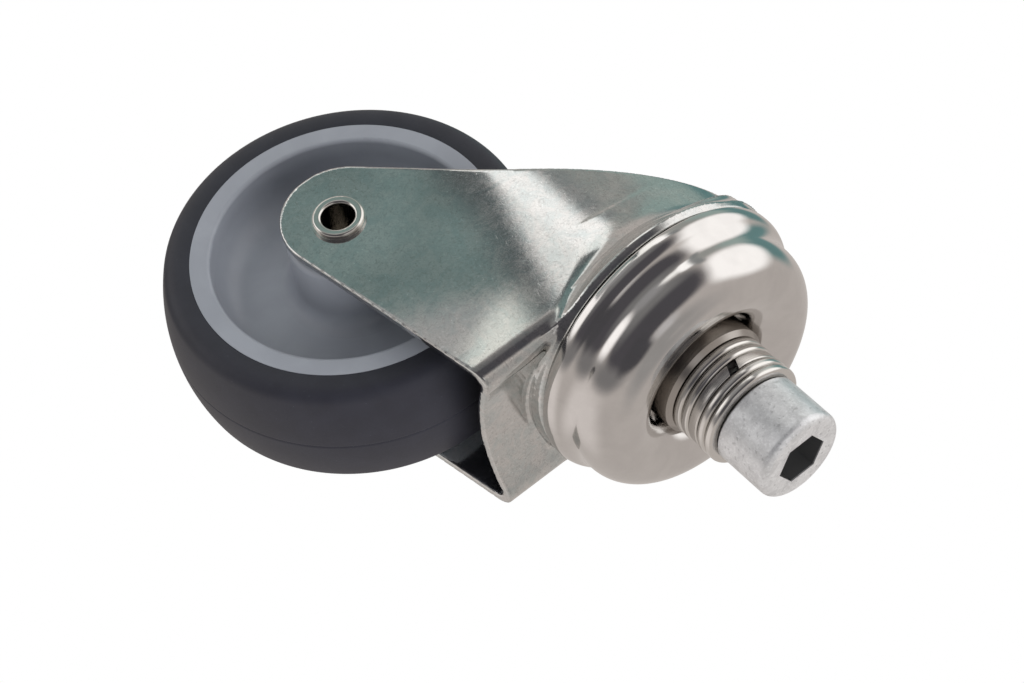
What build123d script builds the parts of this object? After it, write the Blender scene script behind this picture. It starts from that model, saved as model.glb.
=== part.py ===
"""Stainless swivel castor with one solid-tyred wheel and a cap screw in its threaded collar.

Millimetres. The origin is the middle of the collar's end face, where the castor seats against the
frame that it carries. +Z is the swivel axis, pointing out through the screw. The wheel trails
towards +X, and its axle lies along Y.
"""
from build123d import *
from math import asin, atan2, cos, hypot, pi, radians, sin, tan
import os

# ---------------------------------------------------------------- driving dimensions
# Wheel
wheel_diameter = 75.0
tread_width = 27.0
tread_crown = 2.3
shoulder_radius = 3.2
seam_width = 0.5
seam_depth = 0.25
tyre_thickness = 7.1
rim_thickness = 4.0
rim_rib_height = 2.2
rim_rib_width = 12.0
web_thickness = 6.0
dish_fillet = 6.0
hub_wall = 2.98
hub_fillet = 3.4
hub_rim_round = 1.2
rim_lip_round = 0.8

# Axle, from the inside out
axle_hole_radius = 3.2
axle_tube_wall = 1.0
axle_flare_width = 0.8
axle_flare_thickness = 0.9
axle_flare_round = 0.6
axle_mouth_round = 0.7
rivet_washer_margin = 0.3
rivet_washer_thickness = 0.5
sleeve_wall = 1.7
bush_wall = 2.0
bush_flange_width = 1.58
bush_flange_thickness = 1.5
bush_chamfer = 0.4
bush_gap = 1.0

# Fork: one pressed sheet
sheet = 1.8
fork_width = 43.0
swivel_offset = 35.4
wheel_headroom = 6.2
leg_end_radius = 12.2
leg_end_back = 1.2
leg_end_below = 0.3
front_edge_set = 3.5
front_edge_lean = 7.4
rear_edge_slope = 1.06
rear_knee_rise = 20.0
rear_knee_radius = 38.0
rear_wall_slope = 0.81
rear_wall_inset = 0.1
rear_round_length = 38.0
bend_radius = 5.0
valley_step = 4.0
valley_rise = 4.6
ring_inset = 1.2
ring_flare = 0.5
ring_band = 1.8
boss_spread = 1.0
flare_depth = 13.0
flare_foot_inset = 1.5
boss_sink = 1.2
groove_bulge_thinning = 0.2
crown_hole_gap = 2.9

# Swivel head
collar_step = 2.35
collar_height = 8.0
collar_chamfer = 0.9
neck_wall = 3.0
throat_gap = 0.45
dome_top_bulge = 7.6
dome_top_height = 0.1
dome_side_step = 6.2
dome_side_bulge = 3.5
dome_side_drop = 14.1
dome_crease_fillet = 5.0
dome_sheet = 1.8
dome_edge_drop = 15.6
dome_edge_round = 0.5
race_thickness = 2.2
race_inset = 4.0
upper_ball_diameter = 6.35
upper_ball_inset = 3.8
upper_ball_gap = 0.9
lower_ball_diameter = 5.0
lower_ball_inset = 2.8
lower_ball_gap = 0.5
lower_race_land = 3.7
lower_race_thickness = 2.0
lower_race_lip_width = 0.9
lower_race_lip_height = 1.1
lower_groove_bite = 0.5
lower_race_bite = 0.8
retaining_washer_margin = 2.2
retaining_washer_thickness = 1.2
king_flange_thickness = 1.3
king_flange_width = 1.7
king_flange_taper = 0.6
seal_width = 2.2
seal_height = 2.3

# Fasteners on the collar
screw_radius = 6.35
screw_head_radius = 9.525
screw_head_height = 12.7
screw_reach = 21.2
screw_head_round = 1.5
screw_head_chamfer = 0.4
screw_end_chamfer = 1.0
hex_across_flats = 9.525
hex_depth = 6.6
washer_radius = 11.0
washer_thickness = 1.95
washer_count = 4
washer_round = 0.35
washer_ease = 0.3
lock_washer_radius = 10.8
lock_washer_ease = 0.35
lock_washer_thickness = 2.15
lock_washer_slit = 2.0
lock_washer_slant = 65.0
lock_washer_round = 0.3
stack_gap = 0.12

# Fits
running = 0.06
assembly = 0.15
ball_play = 0.05
side_play = 0.5
swivel_gap = 0.7
groove_ease = 0.12
seal_lift = 0.35
same_size = 0.01  # two sizes nearer than this are taken as one

# ---------------------------------------------------------------- derived places
# Swivel head, from the screw outwards
bore_radius = screw_radius + assembly
neck_radius = bore_radius + neck_wall
collar_radius = neck_radius + collar_step
dome_top_radius = collar_radius + throat_gap + dome_top_bulge
dome_side_radius = dome_top_radius + dome_side_step
dome_rim_radius = dome_side_radius + dome_side_bulge
race_radius = dome_rim_radius - dome_sheet - race_inset
upper_ball_circle = race_radius - upper_ball_inset
crown_hole_radius = neck_radius + crown_hole_gap
lower_ball_circle = crown_hole_radius + lower_ball_inset
lower_race_radius = lower_ball_circle + lower_race_land
retaining_washer_radius = neck_radius + king_flange_width + retaining_washer_margin
lock_washer_bore = screw_radius + lock_washer_ease

crown_top = -dome_edge_drop - swivel_gap
crown_underside = crown_top - sheet
valley_z = crown_top - valley_step
dome_top_z = dome_top_height - dome_top_bulge
flange_top = -collar_height
flange_bottom = flange_top - dome_sheet
race_bottom = flange_bottom - race_thickness

upper_ball_radius = upper_ball_diameter / 2
upper_ball_z = (race_bottom + crown_top) / 2
upper_groove_radius = upper_ball_radius + groove_ease

lower_ball_radius = lower_ball_diameter / 2
lower_ball_z = crown_underside + lower_groove_bite - ball_play - lower_ball_radius
lower_race_top = lower_ball_z - lower_ball_radius - ball_play + lower_race_bite
lower_race_bottom = lower_race_top - lower_race_thickness
retaining_bottom = lower_race_bottom - retaining_washer_thickness
king_end = retaining_bottom - king_flange_thickness

# Wheel and axle
wheel_radius = wheel_diameter / 2
rim_radius = wheel_radius - tyre_thickness
rim_inner_radius = rim_radius - rim_thickness
half_tread = tread_width / 2
half_fork = fork_width / 2
leg_inside = half_fork - sheet
half_hub = leg_inside - side_play - bush_flange_thickness
rivet_seat = half_fork + rivet_washer_thickness
axle_z = valley_z - sheet - wheel_headroom - wheel_radius
axle_plane = Plane(origin=(swivel_offset, 0, axle_z), x_dir=(1, 0, 0), z_dir=(0, -1, 0))

tube_radius = axle_hole_radius + axle_tube_wall
axle_flare_radius = tube_radius + axle_flare_width
rivet_washer_radius = axle_flare_radius + rivet_washer_margin
sleeve_bore = tube_radius + running
sleeve_radius = sleeve_bore + sleeve_wall
bush_bore = sleeve_radius + running
bush_radius = bush_bore + bush_wall
bush_flange_radius = bush_radius + bush_flange_width
hub_radius = bush_radius + hub_wall

# Fork
ring_radius = dome_rim_radius - ring_inset
boss_radius = ring_radius + boss_spread
rear_wall_reach = dome_rim_radius - rear_wall_inset
front_edge_reach = swivel_offset + front_edge_set


def save(part, label):
    """Label one finished piece and write its STEP file."""
    part.label = label
    export_step(part, f"parts/{label}.step")


def ring(inner, outer, low, high):
    """A plain ring about Z in the current part, between two radii and two heights."""
    with BuildSketch(Plane.XY.offset(low)) as section:
        Circle(outer)
        Circle(inner, mode=Mode.SUBTRACT)
    extrude(section.sketch, amount=high - low)


def ball_row(circle, radius, height, gap):
    """A full row of equally spaced balls round the swivel axis, each at least a gap apart."""
    count = int(pi / asin((radius + gap / 2) / circle))
    with Locations((0, 0, height)):
        with PolarLocations(circle, count):
            Sphere(radius)


def groove(circle, radius, height):
    """Cut a ball groove of round section round the swivel axis."""
    with BuildSketch(Plane.XZ) as section:
        with Locations((circle, height)):
            Circle(radius)
    revolve(section.sketch, axis=Axis.Z, mode=Mode.SUBTRACT)


def rims(part, radius, distance):
    """Circular edges of the wheel or axle, of one radius and one distance from the middle plane."""
    return [
        edge for edge in part.edges().filter_by(GeomType.CIRCLE)
        if abs(edge.radius - radius) < same_size and abs(abs(edge.arc_center.Y) - distance) < same_size
    ]


def rounds(part, radius):
    """Circular edges of one radius."""
    return [edge for edge in part.edges().filter_by(GeomType.CIRCLE) if abs(edge.radius - radius) < same_size]


os.makedirs("parts", exist_ok=True)

# ---------------------------------------------------------------- wheel
# The wheel pieces are turned about the axle, so their half sections are drawn with the axle
# along the sketch's y direction.
wheel_section = Plane(origin=(swivel_offset, 0, axle_z), x_dir=(1, 0, 0), z_dir=(0, 0, 1))
axle_axis = Axis((swivel_offset, 0, axle_z), (0, 1, 0))

with BuildPart() as wheel_centre:
    with BuildSketch(wheel_section):
        rim_centre = (rim_radius + rim_inner_radius) / 2
        with Locations((rim_centre, 0)):
            Rectangle(rim_radius - rim_inner_radius, tread_width)
        with Locations((rim_radius, 0)):
            Rectangle(2 * rim_rib_height, rim_rib_width)
        with Locations(((bush_radius + rim_centre) / 2, 0)):
            Rectangle(rim_centre - bush_radius, web_thickness)
        with Locations(((bush_radius + hub_radius) / 2, 0)):
            Rectangle(hub_radius - bush_radius, 2 * half_hub)
    revolve(axis=axle_axis)
    fillet(rims(wheel_centre, rim_inner_radius, web_thickness / 2), dish_fillet)
    fillet(rims(wheel_centre, hub_radius, web_thickness / 2), hub_fillet)
    fillet(rims(wheel_centre, hub_radius, half_hub), hub_rim_round)
    fillet(rims(wheel_centre, rim_inner_radius, half_tread), rim_lip_round)
save(wheel_centre.part, "wheel_centre")

with BuildPart() as tyre:
    with BuildSketch(wheel_section):
        with BuildLine():
            tread_low = wheel_radius - tread_crown
            Line((rim_radius, -half_tread), (tread_low, -half_tread))
            ThreePointArc((tread_low, -half_tread), (wheel_radius, 0), (tread_low, half_tread))
            Line((tread_low, half_tread), (rim_radius, half_tread))
            Line((rim_radius, half_tread), (rim_radius, -half_tread))
        make_face()
        with Locations((rim_radius, 0)):
            Rectangle(2 * rim_rib_height, rim_rib_width, mode=Mode.SUBTRACT)
        with Locations((wheel_radius, 0)):
            Rectangle(2 * seam_depth, seam_width, mode=Mode.SUBTRACT)
    revolve(axis=axle_axis)
    fillet(rims(tyre, tread_low, half_tread), shoulder_radius)
save(tyre.part, "tyre")

for side, name in ((-1, "hub_bush_left"), (1, "hub_bush_right")):
    hub_face = Plane(origin=(swivel_offset, side * half_hub, axle_z), x_dir=(1, 0, 0), z_dir=(0, side, 0))
    with BuildPart() as bush:
        with BuildSketch(hub_face):
            Circle(bush_flange_radius)
        extrude(amount=bush_flange_thickness)
        with BuildSketch(hub_face):
            Circle(bush_radius)
        extrude(amount=-half_hub + bush_gap / 2)
        with BuildSketch(hub_face.offset(bush_flange_thickness)):
            Circle(bush_bore)
        extrude(amount=-half_hub - bush_flange_thickness, mode=Mode.SUBTRACT)
        chamfer(rims(bush, bush_flange_radius, half_hub + bush_flange_thickness), bush_chamfer)
    save(bush.part, name)

with BuildPart() as axle_sleeve:
    with BuildSketch(axle_plane):
        Circle(sleeve_radius)
        Circle(sleeve_bore, mode=Mode.SUBTRACT)
    extrude(amount=leg_inside, both=True)
save(axle_sleeve.part, "axle_sleeve")

with BuildPart() as axle_rivet:
    with BuildSketch(axle_plane):
        Circle(tube_radius)
    extrude(amount=rivet_seat, both=True)
    for side in (-1, 1):
        flare_face = Plane(origin=(swivel_offset, side * rivet_seat, axle_z), x_dir=(1, 0, 0), z_dir=(0, side, 0))
        with BuildSketch(flare_face):
            Circle(axle_flare_radius)
        extrude(amount=axle_flare_thickness)
    fillet(rims(axle_rivet, axle_flare_radius, rivet_seat + axle_flare_thickness), axle_flare_round)
    with BuildSketch(axle_plane):
        Circle(axle_hole_radius)
    extrude(amount=fork_width, both=True, mode=Mode.SUBTRACT)
    fillet(rounds(axle_rivet, axle_hole_radius), axle_mouth_round)
save(axle_rivet.part, "axle_rivet")

for side, name in ((-1, "rivet_washer_left"), (1, "rivet_washer_right")):
    leg_face = Plane(origin=(swivel_offset, side * half_fork, axle_z), x_dir=(1, 0, 0), z_dir=(0, side, 0))
    with BuildPart() as rivet_washer:
        with BuildSketch(leg_face):
            Circle(rivet_washer_radius)
            Circle(tube_radius + running, mode=Mode.SUBTRACT)
        extrude(amount=rivet_washer_thickness)
    save(rivet_washer.part, name)

# ---------------------------------------------------------------- fork
front_tilt = atan2(front_edge_lean, valley_z - axle_z)
rear_angle = atan2(rear_edge_slope, 1)
end_x = swivel_offset - leg_end_back
end_z = axle_z - leg_end_below
front_tangent = (end_x + leg_end_radius * cos(front_tilt), end_z + leg_end_radius * sin(front_tilt))
rear_tangent = (end_x - leg_end_radius * sin(rear_angle), end_z - leg_end_radius * cos(rear_angle))
leg_tip = (end_x, end_z - leg_end_radius)
cut_back = -2 * rear_wall_reach
rear_knee = (rear_tangent[0] - rear_knee_rise / rear_edge_slope, rear_tangent[1] + rear_knee_rise)
rear_end = (cut_back, rear_knee[1] + (rear_knee[0] - cut_back) * rear_wall_slope)
cut_top = max(crown_top, rear_end[1]) + dome_edge_drop  # well above the crown
front_top = (front_edge_reach - (cut_top - valley_z) * tan(front_tilt), cut_top)


def fork_envelope(inset):
    """The fork's outer form, or its hollow when inset is the sheet thickness."""
    deepest = 2 * axle_z
    with BuildPart() as channel:
        with BuildSketch(Plane.YZ.offset(cut_back)) as channel_section:
            with BuildLine():
                corner = valley_z + valley_rise
                ThreePointArc((-half_fork, corner), (0, valley_z), (half_fork, corner))
                Polyline((half_fork, corner), (half_fork, deepest), (-half_fork, deepest), (-half_fork, corner))
            make_face()
            fillet(channel_section.vertices().group_by(Axis.Y)[-1], bend_radius)
            offset(amount=-inset, mode=Mode.REPLACE)
        extrude(amount=2 * front_edge_reach - cut_back)
        with BuildSketch(Plane.XY.offset(deepest)):
            with Locations((rear_round_length - rear_wall_reach, 0)):
                Ellipse(rear_round_length - inset, half_fork - inset + same_size)
            with Locations((2 * front_edge_reach + rear_round_length - rear_wall_reach, 0)):
                Rectangle(4 * front_edge_reach, 2 * fork_width)
        extrude(amount=-deepest, mode=Mode.INTERSECT)
    with BuildPart() as crown:
        top = crown_top - inset
        wall = ring_radius - inset
        band_end = crown_top - ring_band
        flare_end = band_end - flare_depth
        flare_foot = half_fork - flare_foot_inset - inset
        with BuildSketch(Plane.XZ):
            with BuildLine():
                Polyline((0, flare_end), (0, top), (wall, top), (wall + ring_flare, band_end))
                Spline(
                    (wall + ring_flare, band_end), (flare_foot, flare_end),
                    tangents=[(-0.8, -0.6), (-0.12, -1)], tangent_scalars=[0.9, 1.1],
                )
                Line((flare_foot, flare_end), (0, flare_end))
            make_face()
        revolve(axis=Axis.Z)
    with BuildPart() as boss:
        with BuildSketch(Plane.XZ):
            with BuildLine():
                foot = valley_z - boss_sink - inset
                Polyline((0, foot), (0, top), (wall, top), (boss_radius - inset, foot), close=True)
            make_face()
        revolve(axis=Axis.Z)
        with BuildSketch(Plane.XY.offset(foot)):
            with Locations((boss_radius, 0)):
                Rectangle(2 * boss_radius, fork_width - 2 * inset)
        extrude(amount=2 * valley_step, mode=Mode.INTERSECT)
    return channel.part + crown.part + boss.part


outer_form = fork_envelope(0)
hollow_form = fork_envelope(sheet)

with BuildPart() as fork:
    add(outer_form)
    add(hollow_form, mode=Mode.SUBTRACT)
    with BuildSketch(Plane.XZ):
        with BuildLine():
            Line(front_top, front_tangent)
            ThreePointArc(front_tangent, leg_tip, rear_tangent)
            FilletPolyline(rear_tangent, rear_knee, rear_end, radius=rear_knee_radius)
            Polyline(rear_end, (cut_back, cut_top), front_top)
        make_face()
    extrude(amount=2 * fork_width, both=True, mode=Mode.INTERSECT)
    with BuildSketch(axle_plane):
        Circle(tube_radius + running)
    extrude(amount=fork_width, both=True, mode=Mode.SUBTRACT)
    with BuildSketch(Plane.XY.offset(crown_top - 2 * sheet)):
        Circle(crown_hole_radius)
    extrude(amount=4 * sheet, mode=Mode.SUBTRACT)
    with BuildSketch(Plane.XZ):
        with Locations((upper_ball_circle, upper_ball_z)):
            Circle(upper_groove_radius + sheet - groove_bulge_thinning)
        with Locations((upper_ball_circle, upper_ball_z)):
            Rectangle(fork_width, 2 * (upper_ball_z - crown_top + sheet / 2), mode=Mode.SUBTRACT)
        with Locations((upper_ball_circle, upper_ball_z + fork_width / 2)):
            Rectangle(fork_width, fork_width, mode=Mode.SUBTRACT)
    revolve(axis=Axis.Z)
    groove(upper_ball_circle, upper_groove_radius, upper_ball_z)
    groove(lower_ball_circle, lower_ball_radius + ball_play, lower_ball_z)
save(fork.part, "fork")

# ---------------------------------------------------------------- swivel head
top_centre = (dome_top_radius, dome_top_z)
side_centre = (dome_side_radius, -dome_side_drop)


def crease_centre():
    """Centre of the concave arc that joins the dome's top bulge to its side bulge."""
    across = side_centre[0] - top_centre[0]
    down = side_centre[1] - top_centre[1]
    span = hypot(across, down)
    to_top = dome_top_bulge + dome_crease_fillet
    to_side = dome_side_bulge + dome_crease_fillet
    along = (to_top**2 - to_side**2 + span**2) / (2 * span)
    out = (to_top**2 - along**2) ** 0.5
    return (
        top_centre[0] + (along * across - out * down) / span,
        top_centre[1] + (along * down + out * across) / span,
    )


def polar_point(centre, radius, angle):
    """The point of a circle at an angle in radians."""
    return (centre[0] + radius * cos(angle), centre[1] + radius * sin(angle))


def bearing(start, end):
    """The angle in radians of the line from one point to another."""
    return atan2(end[1] - start[1], end[0] - start[0])


def bulge_arc(centre, radius, start, end):
    """An arc of a circle between two angles in radians, in the current line."""
    middle = (start + end) / 2
    ThreePointArc(*[polar_point(centre, radius, a) for a in (start, middle, end)])


crease = crease_centre()
top_to_crease = bearing(top_centre, crease)
side_to_crease = bearing(side_centre, crease)


def dome_curve(inset):
    """The dome's outer section line, or its inner one when inset is the sheet thickness."""
    bulge_arc(top_centre, dome_top_bulge - inset, pi, top_to_crease)
    bulge_arc(crease, dome_crease_fillet + inset, top_to_crease + pi, side_to_crease + pi)
    bulge_arc(side_centre, dome_side_bulge - inset, side_to_crease, 0)


with BuildPart() as swivel_housing:
    throat = dome_top_radius - dome_top_bulge
    neck_clear = neck_radius + assembly
    dome_hollow = dome_rim_radius - dome_sheet
    with BuildSketch(Plane.XZ):
        with BuildLine():
            dome_curve(0)
            dome_curve(dome_sheet)
            Polyline(
                (dome_rim_radius, -dome_side_drop), (dome_rim_radius, -dome_edge_drop),
                (dome_hollow, -dome_edge_drop), (dome_hollow, -dome_side_drop),
            )
            Polyline(
                (throat, dome_top_z), (throat, flange_top), (neck_clear, flange_top),
                (neck_clear, flange_bottom), (throat + dome_sheet, flange_bottom),
                (throat + dome_sheet, dome_top_z),
            )
        make_face()
    revolve(axis=Axis.Z)
    fillet(swivel_housing.edges().group_by(Axis.Z)[0], dome_edge_round)
save(swivel_housing.part, "swivel_housing")

with BuildPart() as king_tube:
    flange = neck_radius + king_flange_width
    with BuildSketch(Plane.XZ):
        with BuildLine():
            Polyline(
                (bore_radius, 0), (collar_radius - collar_chamfer, 0), (collar_radius, -collar_chamfer),
                (collar_radius, flange_top), (neck_radius, flange_top), (neck_radius, retaining_bottom),
                (flange, retaining_bottom), (flange - king_flange_taper, king_end), (bore_radius, king_end),
                close=True,
            )
        make_face()
    revolve(axis=Axis.Z)
save(king_tube.part, "king_tube")

with BuildPart() as upper_race:
    ring(neck_radius + assembly, race_radius, race_bottom, flange_bottom)
    groove(upper_ball_circle, upper_groove_radius, upper_ball_z)
save(upper_race.part, "upper_race")

with BuildPart() as upper_balls:
    ball_row(upper_ball_circle, upper_ball_radius, upper_ball_z, upper_ball_gap)
save(upper_balls.part, "upper_balls")

with BuildPart() as lower_balls:
    ball_row(lower_ball_circle, lower_ball_radius, lower_ball_z, lower_ball_gap)
save(lower_balls.part, "lower_balls")

with BuildPart() as lower_race:
    ring(neck_radius + assembly, lower_race_radius, lower_race_bottom, lower_race_top)
    lip = lower_race_radius - lower_race_lip_width
    ring(lip, lower_race_radius, lower_race_bottom, lower_race_top + lower_race_lip_height)
    groove(lower_ball_circle, lower_ball_radius + ball_play, lower_ball_z)
save(lower_race.part, "lower_race")

with BuildPart() as retaining_washer:
    ring(neck_radius + assembly, retaining_washer_radius, retaining_bottom, lower_race_bottom)
save(retaining_washer.part, "retaining_washer")

with BuildPart() as dust_seal:
    seal_outside = dome_hollow - assembly / 2
    seal_bottom = crown_top + seal_lift
    ring(seal_outside - seal_width, seal_outside, seal_bottom, seal_bottom + seal_height)
save(dust_seal.part, "dust_seal")

# ---------------------------------------------------------------- washers and screw
washer_bore = screw_radius + washer_ease
layer = stack_gap / 2
below_lock = washer_count // 2
for index in range(washer_count):
    if index == below_lock:
        lock_low = layer
        layer = lock_low + lock_washer_thickness + stack_gap
    with BuildPart() as flat_washer:
        ring(washer_bore, washer_radius, layer, layer + washer_thickness)
        fillet(rounds(flat_washer, washer_radius), washer_round)
    save(flat_washer.part, f"flat_washer_{index + 1}")
    layer += washer_thickness + stack_gap
head_seat = layer

with BuildPart() as lock_washer:
    ring(lock_washer_bore, lock_washer_radius, lock_low, lock_low + lock_washer_thickness)
    fillet(rounds(lock_washer, lock_washer_radius), lock_washer_round)
    slit = Plane(
        origin=(0, -(lock_washer_bore + lock_washer_radius) / 2, lock_low + lock_washer_thickness / 2),
        x_dir=(cos(radians(lock_washer_slant)), 0, sin(radians(lock_washer_slant))), z_dir=(0, -1, 0),
    )
    with BuildSketch(slit):
        Rectangle(4 * lock_washer_thickness, lock_washer_slit)
    extrude(amount=lock_washer_radius / 2, both=True, mode=Mode.SUBTRACT)
save(lock_washer.part, "lock_washer")

with BuildPart() as cap_screw:
    head_top = head_seat + screw_head_height
    with BuildSketch(Plane.XY.offset(head_seat)):
        Circle(screw_head_radius)
    extrude(amount=screw_head_height)
    fillet(cap_screw.edges().group_by(Axis.Z)[-1], screw_head_round)
    chamfer(cap_screw.edges().group_by(Axis.Z)[0], screw_head_chamfer)
    with BuildSketch(Plane.XY.offset(-screw_reach)):
        Circle(screw_radius)
    extrude(amount=head_seat + screw_reach)
    chamfer(cap_screw.edges().group_by(Axis.Z)[0], screw_end_chamfer)
    with BuildSketch(Plane.XY.offset(head_top)):
        RegularPolygon(hex_across_flats / 2, 6, major_radius=False)
    extrude(amount=-hex_depth, mode=Mode.SUBTRACT)
save(cap_screw.part, "cap_screw")
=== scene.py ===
"""Studio scene of a stainless swivel castor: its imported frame, dressed and detailed.

Every length inside the classes is in millimetres, in the frame's own axes, and is turned into metres
when a mesh is made. The origin is the middle of the collar's end face, +Z is the swivel axis and the
wheel trails towards +X.
"""
from __future__ import annotations

import logging
from dataclasses import dataclass
from enum import Enum
from math import atan2, cos, hypot, pi, radians, sin, sqrt
from typing import Callable, Mapping, Sequence

import bmesh
import bpy
import numpy as np
from mathutils import Matrix, Vector


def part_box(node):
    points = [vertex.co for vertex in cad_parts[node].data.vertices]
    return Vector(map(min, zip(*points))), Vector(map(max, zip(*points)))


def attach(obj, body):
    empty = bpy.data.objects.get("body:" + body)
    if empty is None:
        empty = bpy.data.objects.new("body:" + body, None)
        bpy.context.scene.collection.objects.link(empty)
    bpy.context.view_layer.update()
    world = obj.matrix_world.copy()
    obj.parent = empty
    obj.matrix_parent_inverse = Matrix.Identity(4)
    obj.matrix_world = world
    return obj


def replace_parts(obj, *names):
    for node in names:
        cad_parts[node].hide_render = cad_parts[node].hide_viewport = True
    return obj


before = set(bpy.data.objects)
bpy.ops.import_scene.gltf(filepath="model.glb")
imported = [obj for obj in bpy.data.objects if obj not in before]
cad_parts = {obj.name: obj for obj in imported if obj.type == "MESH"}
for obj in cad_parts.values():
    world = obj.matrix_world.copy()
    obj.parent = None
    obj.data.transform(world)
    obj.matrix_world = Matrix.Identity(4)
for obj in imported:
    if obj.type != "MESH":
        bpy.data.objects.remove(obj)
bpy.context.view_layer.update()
LOG = logging.getLogger("castor")
MM = 0.001

Colour = tuple[float, float, float]
Point = tuple[float, float]
Grid = np.ndarray


# ------------------------------------------------------------------------------- shader maths
class Noise(Enum):
    """Procedural textures by the node that makes them."""

    CLOUD = "ShaderNodeTexNoise"
    CELLS = "ShaderNodeTexVoronoi"


class LampShape(Enum):
    """Outlines of an area lamp."""

    DISC = "DISK"


class Graph:
    """A node tree that is being filled."""

    def __init__(self, tree: bpy.types.NodeTree) -> None:
        """Start with an empty tree.

        Args:
            tree: the node tree to fill; what it holds is removed.
        """
        self.tree = tree
        tree.nodes.clear()

    def node(self, kind: str, settings: Mapping[str, object] | None = None,
             stops: Sequence[tuple[float, Colour]] = (), **sockets: object) -> bpy.types.Node:
        """Add any node.

        Args:
            kind: the node's type.
            settings: attributes set before the sockets.
            stops: places and colours of a ramp.
            sockets: value or link of each input, by its identifier or its name with spaces as underscores.

        Returns:
            The new node.
        """
        made = self.tree.nodes.new(kind)
        for key, value in (settings or {}).items():
            setattr(made, key, value)
        if stops:
            ramp = made.color_ramp.elements
            while len(ramp) < len(stops):
                ramp.new(0.5)
            for element, (place, colour) in zip(ramp, stops):
                element.position = place
                element.color = (*colour, 1.0)
        for key, value in sockets.items():
            self.plug(self.socket(made, key), value)
        return made

    @staticmethod
    def socket(made: bpy.types.Node, key: str) -> bpy.types.NodeSocket:
        """The enabled input of a node that has this identifier or name."""
        name = key.replace("_", " ")
        found = [s for s in made.inputs if s.identifier == key]
        found = found or [s for s in made.inputs if s.name == name and s.enabled]
        return found[0]

    def plug(self, socket: bpy.types.NodeSocket, value: object) -> None:
        """Link a field or a socket to an input, or set its value."""
        if isinstance(value, Field):
            value = value.value
        if isinstance(value, bpy.types.NodeSocket):
            self.tree.links.new(value, socket)
        elif isinstance(value, tuple) and len(value) == 3 and len(socket.default_value) == 4:
            socket.default_value = (*value, 1.0)
        else:
            socket.default_value = value

    def field(self, made: bpy.types.Node, output: str | int = 0) -> "Field":
        """One output of a node as a field."""
        return Field(self, made.outputs[output])

    def place(self) -> "Field":
        """The object's own coordinates, in metres."""
        return self.field(self.node("ShaderNodeTexCoord"), "Object")

    def noise(self, place: "Field", size: float, detail: float = 3.0, roughness: float = 0.55,
              distortion: float = 0.0) -> "Field":
        """Cloudy noise from 0 to 1.

        Args:
            place: coordinates in metres.
            size: the size of the clouds in millimetres.
            detail: how many finer layers it has.
            roughness: how strong the finer layers are.
            distortion: how far the clouds are swirled.

        Returns:
            The noise value.
        """
        made = self.node(Noise.CLOUD.value, Vector=place, Scale=1 / (size * MM), Detail=detail,
                         Roughness=roughness, Distortion=distortion)
        return self.field(made, 0)

    def cells(self, place: "Field", size: float) -> "Field":
        """Distance to the nearest of scattered points, in units of their spacing in millimetres."""
        made = self.node(Noise.CELLS.value, Vector=place, Scale=1 / (size * MM))
        return self.field(made, "Distance")

    def mix(self, factor: object, first: object, second: object) -> "Field":
        """Two colours blended by a factor from 0 to 1."""
        made = self.node("ShaderNodeMix", {"data_type": "RGBA"},
                         Factor_Float=factor, A_Color=first, B_Color=second)
        return self.field(made, 2)

    def stretched(self, place: "Field", factors: Colour, turn: float = 0.0) -> "Field":
        """Coordinates scaled along each axis after a turn about Y in degrees."""
        made = self.node("ShaderNodeMapping", {"vector_type": "TEXTURE"}, Vector=place,
                         Rotation=(0.0, radians(turn), 0.0), Scale=factors)
        return self.field(made)

    def bump(self, height: "Field", depth: float) -> "Field":
        """A normal from a height that goes from 0 to 1 over a depth in millimetres."""
        return self.field(self.node("ShaderNodeBump", Height=height, Distance=depth * MM, Strength=1.0))


@dataclass(frozen=True)
class Field:
    """A socket that takes part in arithmetic; each operation adds a Math node."""

    graph: Graph
    value: bpy.types.NodeSocket

    def _math(self, operation: str, *values: object) -> "Field":
        made = self.graph.node("ShaderNodeMath", {"operation": operation})
        for socket, value in zip(made.inputs, values):
            self.graph.plug(socket, value)
        return self.graph.field(made)

    def __add__(self, other: object) -> "Field":
        """Sum."""
        return self._math("ADD", self, other)

    __radd__ = __add__

    def __sub__(self, other: object) -> "Field":
        """Difference."""
        return self._math("SUBTRACT", self, other)

    def __rsub__(self, other: object) -> "Field":
        """Difference from a value."""
        return self._math("SUBTRACT", other, self)

    def __mul__(self, other: object) -> "Field":
        """Product."""
        return self._math("MULTIPLY", self, other)

    __rmul__ = __mul__

    def __truediv__(self, other: object) -> "Field":
        """Quotient."""
        return self._math("DIVIDE", self, other)

    def __pow__(self, other: object) -> "Field":
        """Power."""
        return self._math("POWER", self, other)

    def size(self) -> "Field":
        """Absolute value."""
        return self._math("ABSOLUTE", self)

    def larger(self, other: object) -> "Field":
        """The larger of two values."""
        return self._math("MAXIMUM", self, other)

    def arctan2(self, other: object) -> "Field":
        """The angle in radians whose tangent is this over another."""
        return self._math("ARCTAN2", self, other)

    def arcsine(self) -> "Field":
        """The angle in radians whose sine this is."""
        return self._math("ARCSINE", self)

    def wrapped(self, low: float, high: float) -> "Field":
        """The value brought between two limits by whole turns."""
        return self._math("WRAP", self, high, low)

    def step(self, low: float, high: float) -> "Field":
        """A smooth rise from 0 to 1 between two values."""
        made = self.graph.node("ShaderNodeMapRange", {"interpolation_type": "SMOOTHSTEP"}, Value=self,
                               From_Min=low, From_Max=high)
        return self.graph.field(made)

    def parts(self) -> list["Field"]:
        """The three components of a vector."""
        made = self.graph.node("ShaderNodeSeparateXYZ", Vector=self)
        return [self.graph.field(made, index) for index in range(3)]


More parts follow.
